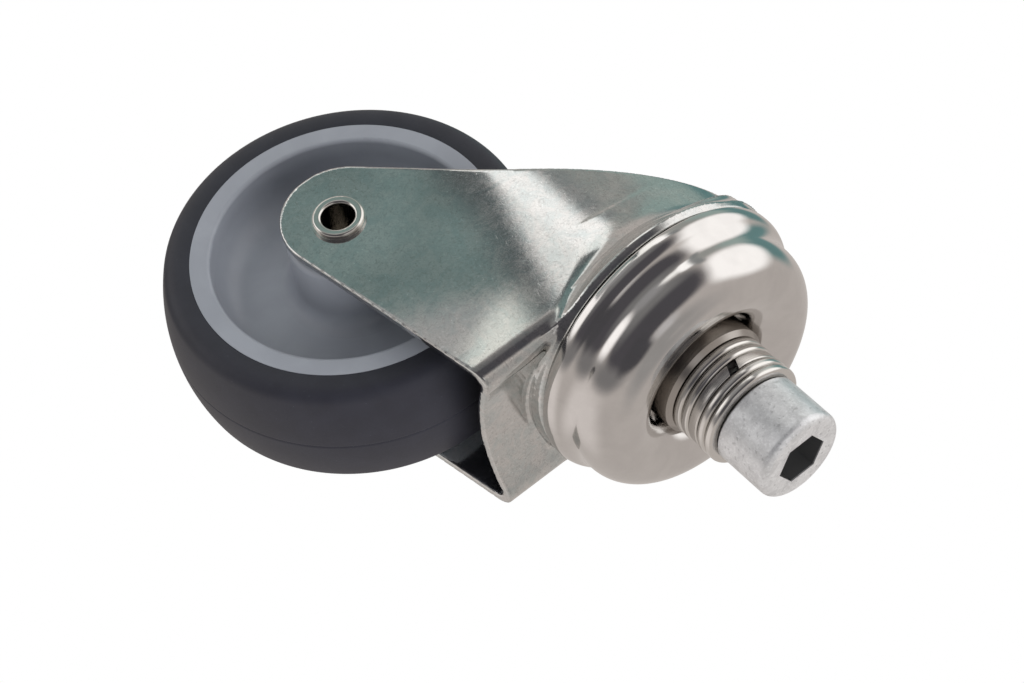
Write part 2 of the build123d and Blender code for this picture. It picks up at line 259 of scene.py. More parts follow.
# ------------------------------------------------------------------------------- finishes
@dataclass(frozen=True)
class Finish:
    """A surface finish that makes its own material.

    Attributes:
        name: the material's name.
        slot: the material slot that it stands for; not used.
        base: its colour.
        roughness: its mean roughness.
        metallic: how metallic it is.
    """

    name: str
    slot: str
    base: Colour
    roughness: float
    metallic: float = 1.0

    def material(self) -> bpy.types.Material:
        """The finished material, made once."""
        found = bpy.data.materials.get(self.name)
        if found:
            return found
        made = bpy.data.materials.new(self.name)
        made.use_nodes = True
        graph = Graph(made.node_tree)
        sockets = {"Base_Color": self.base, "Roughness": self.roughness, "Metallic": self.metallic}
        sockets.update(self.detail(graph))
        surface = graph.node("ShaderNodeBsdfPrincipled", **sockets)
        graph.node("ShaderNodeOutputMaterial", Surface=surface.outputs[0])
        return made

    def detail(self, graph: Graph) -> dict[str, object]:
        """The sockets that this finish varies over the surface."""
        return {}


@dataclass(frozen=True)
class TumbledSteel(Finish):
    """Pressed sheet steel, tumbled to a satin with clouds, specks and fine scratches.

    Attributes:
        cloud_tint: the colour of the bluish clouds.
        warm_tint: the colour of the warm clouds.
        fleck: the colour of worn flecks, which pits brighten further.
        cloud_size: the size of the clouds in millimetres.
        mottle_size: the size of the tumbling marks.
        crinkle_size: the size of the dark crinkles and pale flecks.
        pit_spacing: the mean distance between pits.
        grain: the depth of the tumbling marks in millimetres.
    """

    cloud_tint: Colour = (0.52, 0.555, 0.55)
    warm_tint: Colour = (0.63, 0.62, 0.605)
    fleck: Colour = (0.82, 0.84, 0.82)
    cloud_size: float = 4.5
    mottle_size: float = 1.1
    crinkle_size: float = 0.9
    pit_spacing: float = 1.9
    grain: float = 0.008

    def detail(self, graph: Graph) -> dict[str, object]:
        """Clouds in colour and roughness, tumbling marks, scratches and pits."""
        place = graph.place()
        clouds = graph.noise(place, self.cloud_size, 5.0, 0.65, 0.8)
        mottle = graph.noise(place, self.mottle_size, 5.0, 0.7, 1.2)
        grain = graph.noise(place, 0.35, 3.0, 0.7)
        streaks = graph.noise(graph.stretched(place, (8.0, 1.0, 1.0), 35.0), 0.5, 2.0, 0.6)
        crossed = graph.noise(graph.stretched(place, (1.0, 1.0, 9.0), 20.0), 0.6, 2.0, 0.6)
        scratch = streaks.step(0.66, 0.74).larger(crossed.step(0.68, 0.75))
        pits = 1.0 - graph.cells(place, self.pit_spacing).step(0.03, 0.09)
        tint = graph.mix(clouds.step(0.38, 0.62), self.cloud_tint, self.warm_tint)
        tint = graph.mix(mottle.step(0.35, 0.7) * 0.4, tint, self.base)
        crinkle = graph.noise(place, self.crinkle_size, 5.0, 0.75, 1.6)
        tint = graph.mix(crinkle.step(0.50, 0.64) * 0.6, tint, tuple(0.66 * c for c in self.base))
        tint = graph.mix((1.0 - crinkle.step(0.30, 0.44)) * 0.55, tint, self.fleck)
        tint = graph.mix(pits * 0.6, tint, tuple(0.04 + c for c in self.fleck))
        rough = self.roughness + (mottle - 0.5) * 0.16 + (clouds - 0.5) * 0.08 + scratch * 0.10
        relief = mottle * 0.55 + grain * 0.25 + scratch * 0.22 - pits * 0.35
        return {"Base_Color": tint, "Roughness": rough, "Normal": graph.bump(relief, self.grain)}


@dataclass(frozen=True)
class PolishedSteel(Finish):
    """Deep drawn steel polished to soft mirrors, with orange peel and hairlines.

    Attributes:
        peel: the depth of the orange peel in millimetres.
    """

    peel: float = 0.008

    def detail(self, graph: Graph) -> dict[str, object]:
        """Orange peel, faint hairlines and a slightly uneven gloss."""
        place = graph.place()
        peel = graph.noise(place, 2.4, 2.0, 0.5)
        haze = graph.noise(place, 6.0, 4.0, 0.6, 0.4)
        hair = graph.noise(graph.stretched(place, (1.0, 7.0, 7.0), 12.0), 0.4, 2.0, 0.6).step(0.66, 0.76)
        rough = self.roughness + (haze - 0.5) * 0.10 + hair * 0.06
        tint = graph.mix(haze.step(0.3, 0.75) * 0.5, self.base, tuple(0.86 * c for c in self.base))
        relief = peel * 0.8 + hair * 0.2
        return {"Base_Color": tint, "Roughness": rough, "Normal": graph.bump(relief, self.peel)}


@dataclass(frozen=True)
class TurnedSteel(Finish):
    """Steel with fine turning rings about one axis.

    Attributes:
        pitch: the spacing of the rings in millimetres.
        depth: how deep they are.
        about_y: the rings go round the axle, at this x and z, instead of the swivel axis.
    """

    pitch: float = 0.22
    depth: float = 0.006
    about_y: Point | None = None

    def detail(self, graph: Graph) -> dict[str, object]:
        """Rings by radius and height, and dull spots."""
        place = graph.place()
        x, y, z = place.parts()
        if self.about_y:
            x = x - self.about_y[0] * MM
            z, y = y, z - self.about_y[1] * MM
        radius = (x ** 2.0 + y ** 2.0) ** 0.5
        across = graph.node("ShaderNodeCombineXYZ", X=radius, Y=0.0, Z=z)
        rings = graph.noise(graph.field(across), self.pitch, 2.0, 0.6)
        haze = graph.noise(place, 1.8, 3.0, 0.6)
        rough = self.roughness + (rings - 0.5) * 0.10 + (haze - 0.5) * 0.10
        return {"Roughness": rough, "Normal": graph.bump(rings, self.depth)}


@dataclass(frozen=True)
class ZincFlake(Finish):
    """Dull sprayed zinc flake with a mottle of dark and light specks, and painted shade in the hex socket.

    Attributes:
        speck: the size of the specks in millimetres.
        relief: the depth of the sprayed texture.
        socket_shade_reach: radius about the swivel axis inside which the hex socket is darkened as painted
            shade.
        socket_shade_top: height above which the screw's end face gets no painted shade.
    """

    speck: float = 0.55
    relief: float = 0.02
    socket_shade_reach: float = 5.6
    socket_shade_top: float = 22.95

    def detail(self, graph: Graph) -> dict[str, object]:
        """Specks, blotches, a sprayed texture and painted shade in the hex socket."""
        place = graph.place()
        specks = graph.noise(place, self.speck, 4.0, 0.7)
        blotch = graph.noise(place, 3.0, 3.0, 0.6, 0.6)
        dark = graph.noise(place, 0.9, 2.0, 0.5).step(0.60, 0.72)
        tint = graph.mix(blotch.step(0.35, 0.65), self.base, tuple(0.82 * c for c in self.base))
        tint = graph.mix(specks.step(0.45, 0.75) * 0.6, tint, tuple(1.35 * c for c in self.base))
        tint = graph.mix(dark * 0.5, tint, tuple(0.45 * c for c in self.base))
        # Painted shade: below the end face, the hex socket is darkened to a quarter of the base colour,
        # standing in for the shadow inside the recess.
        x, y, z = place.parts()
        reach = (x ** 2.0 + y ** 2.0) ** 0.5
        beside = reach.step(self.socket_shade_reach * MM, (self.socket_shade_reach + 0.15) * MM)
        above = z.step(self.socket_shade_top * MM, (self.socket_shade_top + 0.2) * MM)
        socket = (1.0 - beside) * (1.0 - above)
        tint = graph.mix(socket, tint, tuple(0.24 * c for c in self.base))
        return {"Base_Color": tint, "Roughness": self.roughness + (specks - 0.5) * 0.2,
                "Normal": graph.bump(specks * 0.7 + dark * 0.3, self.relief)}


@dataclass(frozen=True)
class SatinPlastic(Finish):
    """Moulded plastic with a fine satin skin and faint flow shading.

    Attributes:
        flow: the colour of the flow marks.
        grain: the depth of the moulded grain in millimetres.
    """

    flow: Colour = (0.36, 0.385, 0.43)
    grain: float = 0.006

    def detail(self, graph: Graph) -> dict[str, object]:
        """Flow clouds and moulded grain."""
        place = graph.place()
        clouds = graph.noise(place, 9.0, 3.0, 0.5, 0.6)
        grain = graph.noise(place, 0.28, 2.0, 0.6)
        tint = graph.mix(clouds.step(0.35, 0.7) * 0.35, self.base, self.flow)
        return {"Base_Color": tint, "Roughness": self.roughness + (clouds - 0.5) * 0.14,
                "Normal": graph.bump(grain, self.grain)}


@dataclass(frozen=True)
class MattRubber(Finish):
    """Tyre compound: matt and dark, with pale dust specks and scuffs.

    Attributes:
        dust: the colour of the specks.
        grain: the depth of the rubbed grain in millimetres.
    """

    dust: Colour = (0.09, 0.095, 0.115)
    grain: float = 0.014

    def detail(self, graph: Graph) -> dict[str, object]:
        """Dust specks, scuffs and a rubbed grain."""
        place = graph.place()
        clouds = graph.noise(place, 6.0, 4.0, 0.6, 0.3)
        grain = graph.noise(place, 0.32, 3.0, 0.65)
        specks = 1.0 - graph.cells(place, 1.5).step(0.03, 0.08)
        scuffs = graph.noise(place, 1.3, 5.0, 0.75, 1.4).step(0.62, 0.76)
        tint = graph.mix(clouds.step(0.3, 0.7) * 0.4, self.base, tuple(1.5 * c for c in self.base))
        tint = graph.mix(scuffs * 0.22, tint, self.dust)
        tint = graph.mix(specks * clouds.step(0.45, 0.6) * 0.6, tint, self.dust)
        rough = self.roughness + (grain - 0.5) * 0.16 + scuffs * 0.06
        relief = grain * 0.6 + scuffs * 0.4
        return {"Base_Color": tint, "Roughness": rough, "Normal": graph.bump(relief, self.grain)}


# ------------------------------------------------------------------------------- mesh helpers
def smooth_piece(name: str, points: np.ndarray, faces: Sequence[Sequence[int]], finish: Finish,
                 body: str, crease: float = 40.0) -> bpy.types.Object:
    """Make a mesh piece in the frame, ride it on its body and finish it.

    Args:
        name: the piece's name.
        points: vertices in millimetres.
        faces: corner indices of each face.
        finish: its surface finish.
        body: the body that it moves with.
        crease: edges that turn more than this many degrees stay sharp.

    Returns:
        The new object.
    """
    mesh = bpy.data.meshes.new(name)
    mesh.from_pydata((np.asarray(points) * MM).tolist(), [], [list(map(int, f)) for f in faces])
    mesh.update()
    made = bpy.data.objects.new(name, mesh)
    bpy.context.scene.collection.objects.link(made)
    shaper = bmesh.new()
    shaper.from_mesh(mesh)
    bmesh.ops.recalc_face_normals(shaper, faces=shaper.faces)
    for face in shaper.faces:
        face.smooth = True
    for edge in shaper.edges:
        edge.smooth = edge.calc_face_angle(0.0) < radians(crease)
    shaper.to_mesh(mesh)
    shaper.free()
    mesh.materials.append(finish.material())
    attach(made, body)
    LOG.info("%s: %d faces on %s", name, len(mesh.polygons), body)
    return made


def surface_net(values: Grid, origin: np.ndarray, step: float) -> tuple[np.ndarray, np.ndarray]:
    """The zero surface of a sampled distance field, as one vertex for each cell that it crosses.

    Args:
        values: the field at grid points, negative inside.
        origin: the place of the first grid point.
        step: the grid's spacing.

    Returns:
        Vertices, and four corner indices for each face.
    """
    inside = values < 0
    cells = tuple(n - 1 for n in values.shape)
    total = np.zeros(cells + (3,))
    count = np.zeros(cells)
    corner = [slice(0, -1), slice(1, None)]
    for axis in range(3):
        others = [a for a in range(3) if a != axis]
        for first in (0, 1):
            for second in (0, 1):
                low, high = [slice(None)] * 3, [slice(None)] * 3
                low[axis], high[axis] = corner
                low[others[0]] = high[others[0]] = corner[first]
                low[others[1]] = high[others[1]] = corner[second]
                a, b = values[tuple(low)], values[tuple(high)]
                crossed = inside[tuple(low)] != inside[tuple(high)]
                along = np.where(crossed, a / np.where(crossed, a - b, 1.0), 0.0)
                total[..., axis] += along
                total[..., others[0]] += crossed * first
                total[..., others[1]] += crossed * second
                count += crossed
    used = count > 0
    index = np.full(cells, -1)
    index[used] = np.arange(used.sum())
    places = np.argwhere(used) + total[used] / count[used][:, None]
    faces = []
    for axis in range(3):
        one, two = (axis + 1) % 3, (axis + 2) % 3
        low, high = [slice(1, -1)] * 3, [slice(1, -1)] * 3
        low[axis], high[axis] = corner
        start = inside[tuple(low)]
        crossed = np.argwhere(start != inside[tuple(high)])
        offset = np.ones(3, int)
        offset[axis] = 0
        at = crossed + offset
        shift_one, shift_two = np.eye(3, dtype=int)[one], np.eye(3, dtype=int)[two]
        ring = [at - shift_one - shift_two, at - shift_two, at, at - shift_one]
        quads = np.stack([index[tuple(r.T)] for r in ring], 1)
        flip = ~start[tuple(crossed.T)]
        quads[flip] = quads[flip][:, ::-1]
        faces.append(quads)
    return origin + places * step, np.concatenate(faces)


def settle(points: np.ndarray, field_at: Callable[[Grid, Grid, Grid], Grid], rounds: int = 3) -> np.ndarray:
    """Move points onto the zero surface of a distance field, along its gradient.

    Args:
        points: the points to move.
        field_at: the field as a function of x, y and z.
        rounds: how many times to correct them.

    Returns:
        The moved points.
    """
    reach = 0.02
    for _ in range(rounds):
        x, y, z = points.T
        here = field_at(x, y, z)
        slope = np.stack([field_at(x + reach, y, z) - here, field_at(x, y + reach, z) - here,
                          field_at(x, y, z + reach) - here], 1) / reach
        steep = np.maximum((slope ** 2).sum(1), 0.25)
        points = points - np.clip(here / steep, -0.3, 0.3)[:, None] * slope
    return points


def rounded(first: Grid, second: Grid, radius: float) -> Grid:
    """What lies inside both fields, with the edge between them rounded to a radius."""
    outside = np.hypot(np.maximum(first + radius, 0), np.maximum(second + radius, 0))
    return np.minimum(np.maximum(first, second) + radius, 0) + outside - radius


def blended(first: Grid, second: Grid, width: float) -> Grid:
    """What lies inside either field, with a fillet between them about as wide as given."""
    share = np.clip(0.5 + 0.5 * (second - first) / width, 0, 1)
    return second + (first - second) * share - width * share * (1 - share)


def lathe(profile: Sequence[Point], about_axle: Point | None = None,
          turns: int = 192) -> tuple[np.ndarray, list]:
    """A closed section turned about the swivel axis, or about the axle.

    Args:
        profile: (radius, height) corners of the closed section, height along the axis.
        about_axle: the axle's x and z, or nothing for the swivel axis.
        turns: how many steps the turn has.

    Returns:
        Vertices in millimetres and faces.
    """
    radius, height = np.array(profile, float).T
    angle = np.arange(turns) * 2 * pi / turns
    across = np.outer(np.cos(angle), radius)
    over = np.outer(np.sin(angle), radius)
    along = np.tile(height, (turns, 1))
    if about_axle:
        points = np.stack([across + about_axle[0], along, over + about_axle[1]], -1)
    else:
        points = np.stack([across, over, along], -1)
    count = len(profile)
    faces = [
        (t * count + i, t * count + (i + 1) % count,
         (t + 1) % turns * count + (i + 1) % count, (t + 1) % turns * count + i)
        for t in range(turns) for i in range(count)
    ]
    return points.reshape(-1, 3), faces


# ------------------------------------------------------------------------------- sub-assemblies
@dataclass
class Fork:
    """The fork: one sheet pressed into two legs, a dished crown and the ring of the ball track.

    Attributes:
        finish: the tumbled surface.
        step: the spacing of the mesh in millimetres.
        sheet: the sheet's thickness.
        half_width: from the middle plane to a leg's outside.
        bend: the outer radius between leg and crown.
        valley: the crown's lowest height, in its middle plane.
        valley_rise: how much higher it lies above the legs.
        crown_top: the height of the raised ring.
        ring: the ring's radius at its top.
        ring_flare: how much wider it is at the foot of its band.
        ring_band: the height of its band.
        funnel_depth: the height over which the ring flows into the legs.
        funnel_foot: the radius at which it ends.
        boss: the radius of the low step round the ring.
        rear_reach: how far the rear wall lies behind the swivel axis.
        rear_length: half the length of the oval that rounds the rear wall.
        axle: the axle's x and z.
        axle_hole: the radius of its hole.
        end_centre: x and z of the middle of the round leg end.
        end_radius: its radius.
        front_lean: how far the front edge leans over the leg's height.
        rear_slope: rise over run of the rear edge below its knee.
        knee_rise: how far above the leg end the knee lies.
        wall_slope: rise over run of the rear edge above its knee.
        crown_hole: the radius of the hole for the king tube.
        edge_round: the rounding of the sheet's cut edges.
        upper_track: radius, height and section radius of the upper ball track.
        lower_track: the same for the lower one.
    """

    finish: Finish
    step: float = 0.42
    sheet: float = 1.8
    half_width: float = 21.5
    bend: float = 5.0
    valley: float = -20.3
    valley_rise: float = 4.6
    crown_top: float = -16.3
    ring: float = 28.4
    ring_flare: float = 0.5
    ring_band: float = 1.8
    funnel_depth: float = 13.0
    funnel_foot: float = 20.0
    boss: float = 28.9
    rear_reach: float = 29.5
    rear_length: float = 38.0
    axle: Point = (35.4, -65.8)
    axle_hole: float = 4.26
    end_centre: Point = (34.2, -66.1)
    end_radius: float = 12.2
    front_lean: float = 7.4
    rear_slope: float = 1.06
    knee_rise: float = 20.0
    wall_slope: float = 0.81
    crown_hole: float = 12.4
    edge_round: float = 0.3
    upper_track: tuple[float, float, float] = (20.0, -14.15, 3.295)
    lower_track: tuple[float, float, float] = (15.2, -20.15, 2.55)

    def outer(self, x: Grid, y: Grid, z: Grid) -> Grid:
        """Distance to the pressing's outer form, as if it were solid."""
        side = np.abs(y)
        centre = self.rear_length - self.rear_reach
        back = np.minimum(x - centre, 0) / self.rear_length
        spread = np.hypot(back, y / self.half_width)
        steep = np.hypot(back / self.rear_length, y / self.half_width ** 2)
        oval = spread * (spread - 1) / np.maximum(steep, 1e-6)
        wall = np.where(x < centre, oval, side - self.half_width)
        dish = (self.half_width ** 2 + self.valley_rise ** 2) / (2 * self.valley_rise)
        top = dish - np.hypot(y, z - self.valley - dish)
        channel = rounded(wall, top, self.bend)
        reach = np.hypot(x, y)
        drop = self.crown_top - self.ring_band - z
        share = np.clip(1 - drop / self.funnel_depth, 0, 1)
        ring_foot = self.ring + self.ring_flare
        funnel_wall = np.where(drop < 0, ring_foot + drop * self.ring_flare / self.ring_band,
                               self.funnel_foot + (ring_foot - self.funnel_foot) * share ** 2)
        slant = np.where(drop < 0, 0.0, 2 * (ring_foot - self.funnel_foot) * share / self.funnel_depth)
        funnel = rounded((reach - funnel_wall) / np.sqrt(1 + slant ** 2), z - self.crown_top, 0.5)
        funnel = np.maximum(funnel, drop - self.funnel_depth)
        boss = rounded(reach - self.boss, z - self.crown_top, 0.5)
        boss = rounded(boss, side - self.half_width, self.bend)
        raised = blended(channel, np.maximum(boss, self.valley - 1.2 - z), 0.9)
        return blended(raised, funnel, 2.6)

    def outline(self, x: Grid, z: Grid) -> Grid:
        """Distance to the side outline: front edge, round leg end, rear edge and rear wall."""
        tilt = atan2(self.front_lean, -self.axle[1] + self.valley)
        turn = atan2(self.rear_slope, 1)
        cx, cz = self.end_centre
        front = (x - cx) * cos(tilt) + (z - cz) * sin(tilt) - self.end_radius
        rear = -(x - cx) * sin(turn) - (z - cz) * cos(turn) - self.end_radius
        knee_x = cx - self.end_radius * sin(turn) - self.knee_rise / self.rear_slope
        knee_z = cz - self.end_radius * cos(turn) + self.knee_rise
        wall_turn = atan2(self.wall_slope, 1)
        wall = -(x - knee_x) * sin(wall_turn) - (z - knee_z) * cos(wall_turn)
        edge = np.maximum(front, blended(rear, wall, 0.9))
        past_front = (x - cx) * sin(tilt) - (z - cz) * cos(tilt) > 0
        past_rear = (x - cx) * cos(turn) - (z - cz) * sin(turn) > 0
        end = np.hypot(x - cx, z - cz) - self.end_radius
        return np.where(past_front & past_rear, end, edge)

    def distance(self, x: Grid, y: Grid, z: Grid) -> Grid:
        """Distance to the finished pressing, negative inside the sheet."""
        solid = self.outer(x, y, z)
        shell = np.maximum(solid, -(solid + self.sheet))
        reach = np.hypot(x, y)
        circle, height, radius = self.upper_track
        track = np.hypot(reach - circle, z - height)
        swell = np.maximum(track - radius - self.sheet + 0.2, z - self.crown_top + self.sheet / 2)
        shell = np.maximum(blended(shell, swell, 0.8), radius - track)
        circle, height, radius = self.lower_track
        shell = np.maximum(shell, radius - np.hypot(reach - circle, z - height))
        cut = rounded(shell, self.outline(x, z), self.edge_round)
        cut = rounded(cut, self.axle_hole - np.hypot(x - self.axle[0], z - self.axle[1]), 0.15)
        return np.maximum(cut, np.where(z > self.crown_top - 3 * self.sheet, self.crown_hole - reach, -1e3))

    def build(self) -> None:
        """Mesh the pressing and put it in place of its plain node."""
        low, high = (np.array(corner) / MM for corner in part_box("fork"))
        step = self.step
        low, high = low - 2 * step, high + 2 * step
        axes = [np.arange(a, b, step) for a, b in zip(low, high)]
        values = self.distance(*np.meshgrid(*axes, indexing="ij", sparse=True))
        points, faces = surface_net(values, low, step)
        points = settle(points, self.distance)
        piece = smooth_piece("fork_pressing", points, faces, self.finish, "fork", crease=180.0)
        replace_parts(piece, "fork")


def dress(finish: Finish, *nodes: str) -> None:
    """Give CAD nodes a finish through their own material slots."""
    for node in nodes:
        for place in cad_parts[node].material_slots:
            place.material = finish.material()
        LOG.info("%s: dressed in %s", node, finish.name)


@dataclass
class Head:
    """The swivel head: domed housing, collar and king tube, ball tracks, balls and seal.

    Attributes:
        polished: the housing's finish.
        turned: the collar's finish.
        plain: the finish of the races and the retaining washer.
        balls: the balls' finish.
        rubber: the seal's finish.
        top_circle: radius of the circle that the top bulge's section is centred on.
        top_bulge: the section radius of the top bulge.
        top_height: the height of its crest.
        side_circle: radius of the circle that the side bulge's section is centred on.
        side_bulge: the section radius of the side bulge.
        side_drop: how far below the collar's face its middle lies.
        crease: the radius of the hollow between both bulges.
        sheet: the housing's thickness.
        edge_drop: how far below the collar's face its edge lies.
        collar_height: the depth of the throat round the collar.
        neck: the radius of the hole for the king tube.
        die_mark_depth: the depth of the faint ring that the die left.
        die_mark_radius: its radius.
        die_mark_width: half its width.
    """

    polished: Finish
    turned: Finish
    plain: Finish
    balls: Finish
    rubber: Finish
    top_circle: float = 19.9
    top_bulge: float = 7.6
    top_height: float = 0.1
    side_circle: float = 26.1
    side_bulge: float = 3.5
    side_drop: float = 14.1
    crease: float = 5.0
    sheet: float = 1.8
    edge_drop: float = 15.6
    collar_height: float = 8.0
    neck: float = 9.65
    die_mark_depth: float = 0.06
    die_mark_radius: float = 21.3
    die_mark_width: float = 0.22

    def section(self) -> list[Point]:
        """The housing's closed section, as radius and height."""
        top = (self.top_circle, self.top_height - self.top_bulge)
        side = (self.side_circle, -self.side_drop)
        across, down = side[0] - top[0], side[1] - top[1]
        span = hypot(across, down)
        to_top, to_side = self.top_bulge + self.crease, self.side_bulge + self.crease
        along = (to_top ** 2 - to_side ** 2 + span ** 2) / (2 * span)
        out = sqrt(to_top ** 2 - along ** 2)
        middle = (top[0] + (along * across - out * down) / span,
                  top[1] + (along * down + out * across) / span)
        leave = atan2(middle[1] - top[1], middle[0] - top[0])
        meet = atan2(middle[1] - side[1], middle[0] - side[0])

        def arc(centre: Point, radius: float, start: float, end: float, steps: int) -> list[Point]:
            """Points of a circle between two angles in radians."""
            angles = np.linspace(start, end, steps)
            return [(centre[0] + radius * cos(a), centre[1] + radius * sin(a)) for a in angles]

        def line(inset: float) -> list[Point]:
            """The outer section line, moved inwards by an inset."""
            upper = arc(top, self.top_bulge - inset, pi, leave, 40)
            waist = arc(middle, self.crease + inset, leave + pi, meet + pi, 12)
            lower = arc(side, self.side_bulge - inset, meet, 0.0, 20)
            return upper + waist[1:-1] + lower

        rim = self.side_circle + self.side_bulge
        base = -self.edge_drop
        hollow = rim - self.sheet
        edge = [(rim, base + 0.55), (rim - 0.16, base + 0.2), (rim - 0.5, base),
                (hollow + 0.5, base), (hollow + 0.1, base + 0.25), (hollow, base + 0.6)]
        throat = self.top_circle - self.top_bulge
        floor, under = -self.collar_height, -self.collar_height - self.sheet
        marked, width = self.die_mark_radius, self.die_mark_width
        outer = [(r, z - self.die_mark_depth * np.exp(-((r - marked) / width) ** 2)) for r, z in line(0.0)]
        inner = line(self.sheet)[::-1]
        foot = [(throat + self.sheet, under + 0.01), (self.neck, under), (self.neck, floor),
                (throat - 0.02, floor)]
        return outer + edge + inner + foot

    def build(self) -> None:
        """Turn the housing and dress the rest."""
        points, faces = lathe(self.section(), turns=256)
        dome = smooth_piece("housing_dome", points, faces, self.polished, "head", 50.0)
        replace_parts(dome, "swivel_housing")
        dress(self.turned, "king_tube")
        dress(self.plain, "upper_race", "lower_race", "retaining_washer")
        dress(self.balls, "upper_balls", "lower_balls")
        dress(self.rubber, "dust_seal")


@dataclass
class Wheel:
    """The wheel: moulded centre, bonded tyre and two flanged bushes.

    Attributes:
        plastic: the centre's finish.
        rubber: the tyre's finish.
        bush: the bushes' finish.
        axle: the axle's x and z.
        radius: the tyre's radius.
        tread: its width.
        crown: how much higher the tread is in its middle than at its sides.
        shoulder: the radius between tread and side.
        bead: the radius at which the tyre meets the rim.
        seam_width: the width of the mould seam.
        seam_height: its depth.
        bead_ease: the chamfer of the tyre's inner corners, out and along the axle.
    """

    plastic: Finish
    rubber: Finish
    bush: Finish
    axle: Point = (35.4, -65.8)
    radius: float = 37.5
    tread: float = 27.0
    crown: float = 2.3
    shoulder: float = 3.2
    bead: float = 30.4
    seam_width: float = 0.45
    seam_height: float = 0.16
    bead_ease: Point = (0.25, 0.12)

    def tyre_section(self) -> list[Point]:
        """The tyre's closed section, as radius and height along the axle."""
        half = self.tread / 2
        arc_radius = (half ** 2 + self.crown ** 2) / (2 * self.crown)
        base = self.radius - arc_radius
        aside = half - self.shoulder
        out = base + sqrt((arc_radius - self.shoulder) ** 2 - aside ** 2)
        lean = atan2(aside, out - base)
        tread: list[Point] = []
        for angle in np.linspace(-lean, lean, 81):
            place = arc_radius * sin(angle)
            in_seam = abs(place) < self.seam_width / 2
            tread.append((base + arc_radius * cos(angle) - (self.seam_height if in_seam else 0.0), place))
        turns = np.linspace(lean, pi / 2, 12)[1:]
        corner = [(out + self.shoulder * cos(a), aside + self.shoulder * sin(a)) for a in turns]
        across, along = self.bead_ease
        upper = corner + [(self.bead + across, half), (self.bead, half - along)]
        lower = [(r, -y) for r, y in upper]
        return tread + upper + lower[::-1]

    def build(self) -> None:
        """Turn the tyre and dress the rest."""
        points, faces = lathe(self.tyre_section(), self.axle, 288)
        tyre = smooth_piece("tyre_tread", points, faces, self.rubber, "wheel", 30.0)
        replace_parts(tyre, "tyre")
        dress(self.plastic, "wheel_centre")
        dress(self.bush, "hub_bush_left", "hub_bush_right")


@dataclass
class Axle:
    """The hollow rivet with its washers and sleeve.

    Attributes:
        bright: the rivet's finish.
        plain: the finish of the sleeve.
    """

    bright: Finish
    plain: Finish

    def build(self) -> None:
        """Dress the axle pieces."""
        dress(self.bright, "axle_rivet", "rivet_washer_left", "rivet_washer_right")
        dress(self.plain, "axle_sleeve")


@dataclass
class Fastening:
    """The cap screw and its stack of washers.

    Attributes:
        zinc: the screw's finish.
        bright: the washers' finish.
        washer_bore: the flat washers' bore radius.
        washer_round: the rounding of their outer corners.
        bore_ease: the chamfer of their bore.
        washer_count: how many flat washers there are.
    """

    zinc: Finish
    bright: Finish

    washer_bore: float = 6.65
    washer_round: float = 0.7
    bore_ease: float = 0.12
    washer_count: int = 4

    def washer_section(self, outer: float, low: float, high: float) -> list[Point]:
        """A flat washer's closed section with tumbled outer corners."""
        soft = self.washer_round
        section: list[Point] = []
        for height, start in ((low + soft, -pi / 2), (high - soft, 0.0)):
            for angle in np.linspace(start, start + pi / 2, 8):
                section.append((outer - soft + soft * cos(angle), height + soft * sin(angle)))
        bore, ease = self.washer_bore, self.bore_ease
        return section + [(bore + ease, high), (bore, high - ease), (bore, low + ease), (bore + ease, low)]

    def build(self) -> None:
        """Dress the screw and the lock washer, and turn the flat washers."""
        dress(self.zinc, "cap_screw")
        dress(self.bright, "lock_washer")
        for number in range(1, self.washer_count + 1):
            node = f"flat_washer_{number}"
            low, high = (np.array(corner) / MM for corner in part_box(node))
            points, faces = lathe(self.washer_section(high[0], low[2], high[2]), turns=160)
            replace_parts(smooth_piece(f"washer_{number}", points, faces, self.bright, "head", 50.0), node)


@dataclass(frozen=True)
class Shine:
    """A surface that only gives light.

    Attributes:
        name: the material's name.
        colour: its light.
    """

    name: str
    colour: Colour

    def material(self) -> bpy.types.Material:
        """The finished material."""
        made = bpy.data.materials.new(self.name)
        made.use_nodes = True
        graph = Graph(made.node_tree)
        surface = graph.node("ShaderNodeEmission", Color=self.light(graph), Strength=1.0)
        graph.node("ShaderNodeOutputMaterial", Surface=surface.outputs[0])
        return made

    def light(self, graph: Graph) -> object:
        """The light, plain unless a kind of surface varies it."""
        return self.colour


